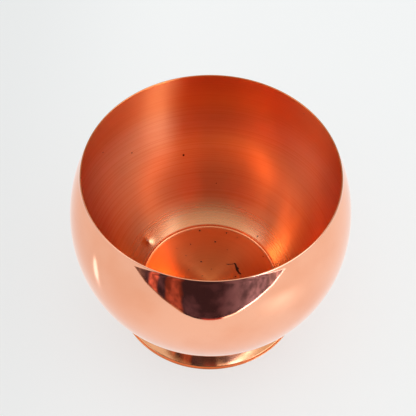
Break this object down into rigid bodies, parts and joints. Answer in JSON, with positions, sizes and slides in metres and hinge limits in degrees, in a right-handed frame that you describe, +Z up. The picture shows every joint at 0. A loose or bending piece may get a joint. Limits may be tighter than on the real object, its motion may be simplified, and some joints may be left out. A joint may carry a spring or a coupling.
{
  "type": "footed copper bowl",
  "caption": "Round spun copper bowl with a full belly, a drawn-in plain rim and a low flared foot ring soldered underneath.",
  "frame": {"origin": "on the bowl's axis, on the plane that the foot ring stands on", "axes": "+Z up along the axis of revolution, from the foot to the rim; X and Y are equivalent"},
  "size_m": [0.165, 0.165, 0.124],
  "materials": {
    "polished_copper": "mirror polished outside, satin spun marks inside",
    "foot_copper": "polished, slightly darker with handling and tarnish",
    "solder": "dull silver-grey solder"
  },
  "bodies": {
    "root": {"bowl_body": "polished_copper", "foot_ring": "foot_copper", "solder_seam": "solder"}
  },
  "joints": []
}
